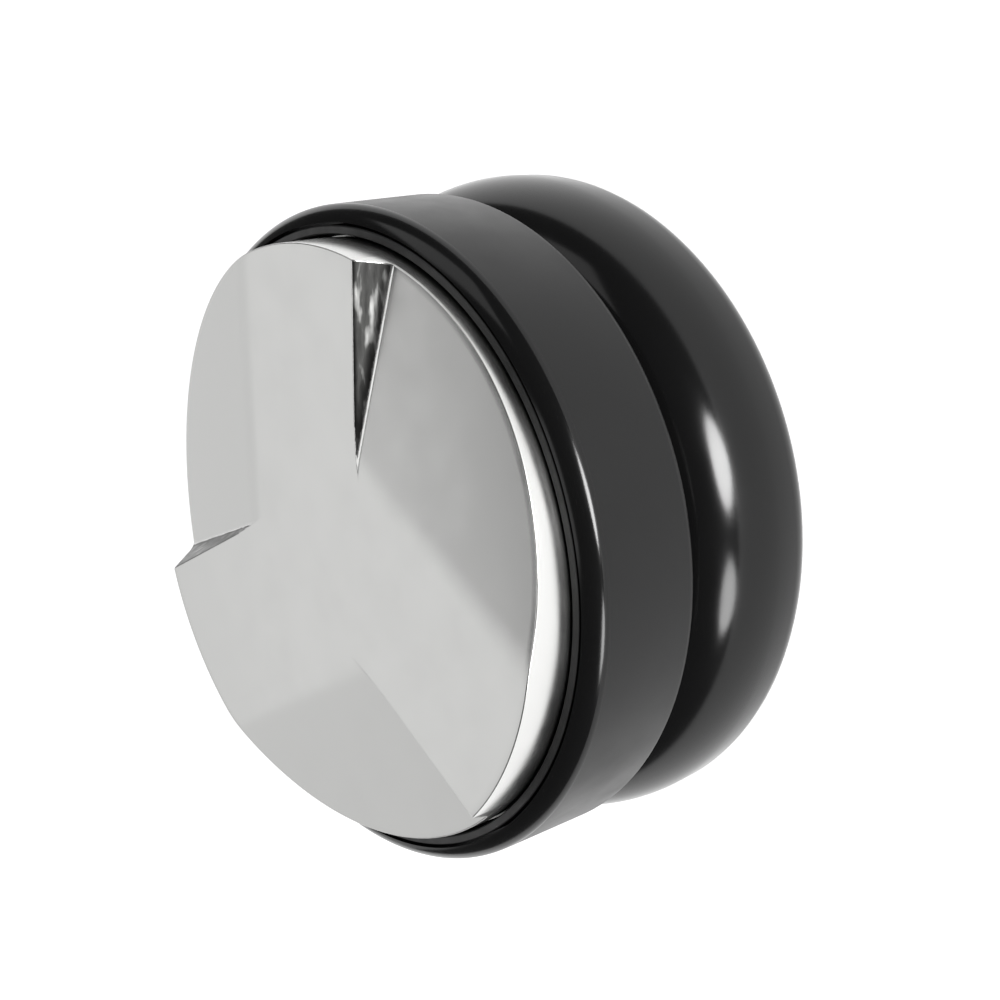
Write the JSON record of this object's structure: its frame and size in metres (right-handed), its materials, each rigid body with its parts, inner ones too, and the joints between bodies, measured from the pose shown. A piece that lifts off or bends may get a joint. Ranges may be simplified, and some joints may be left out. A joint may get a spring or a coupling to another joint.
{
  "type": "coffee distributor",
  "caption": "Adjustable espresso coffee distributor: three stepped steel blades in a black collar, locked at depth by a screw-on grip cap.",
  "frame": {"origin": "centre of the grip cap's flat top, which the part stands on: the bottom centre of its box", "axes": "+Z along the turning axis from the grip cap towards the blades, so in use the part is turned over; one blade step meets the rim 85 degrees round from +X"},
  "size_m": [0.0658, 0.0658, 0.0327],
  "materials": {
    "polished_steel": "polished stainless steel",
    "black_anodised": "black anodised aluminium, satin band and gloss edges",
    "bush_brass": "machined brass",
    "screw_zinc": "zinc plated steel",
    "washer_nylon": "black nylon",
    "guide_polymer": "dark grey acetal",
    "ring_rubber": "black nitrile rubber"
  },
  "bodies": {
    "cap": {"grip_cap": "black_anodised", "cap_bush": "bush_brass", "cap_bush_screw_1": "screw_zinc", "cap_bush_screw_2": "screw_zinc", "cap_bush_screw_3": "screw_zinc"},
    "lock_washer": {"lock_washer": "washer_nylon"},
    "base": {"blade_disc": "polished_steel", "threaded_stud": "polished_steel", "stud_screw_1": "screw_zinc", "stud_screw_2": "screw_zinc", "stud_screw_3": "screw_zinc", "skirt_o_ring": "ring_rubber"},
    "guide_ring": {"guide_ring": "guide_polymer"},
    "collar": {"collar_ring": "black_anodised", "collar_bush": "bush_brass", "collar_bush_screw_1": "screw_zinc", "collar_bush_screw_2": "screw_zinc", "collar_bush_screw_3": "screw_zinc"}
  },
  "joints": [
    {"name": "base_lift", "type": "slide", "parent": "cap", "child": "lock_washer", "axis": [0, 0, 1], "range_m": [0, 0.006]},
    {"name": "base_turn", "type": "hinge", "parent": "lock_washer", "child": "base", "pos_m": [0, 0, 0], "axis": [0, 0, 1], "range_deg": [0, 720]},
    {"name": "collar_lift", "type": "slide", "parent": "base", "child": "guide_ring", "axis": [0, 0, 1], "range_m": [0, 0.0045]},
    {"name": "collar_turn", "type": "hinge", "parent": "guide_ring", "child": "collar", "pos_m": [0, 0, 0], "axis": [0, 0, 1], "range_deg": [0, 540]}
  ],
  "couplings": [
    {"joint": "base_lift", "follows": "base_turn", "m_per_rad": 0.00047746},
    {"joint": "collar_lift", "follows": "collar_turn", "m_per_rad": 0.00047746}
  ]
}
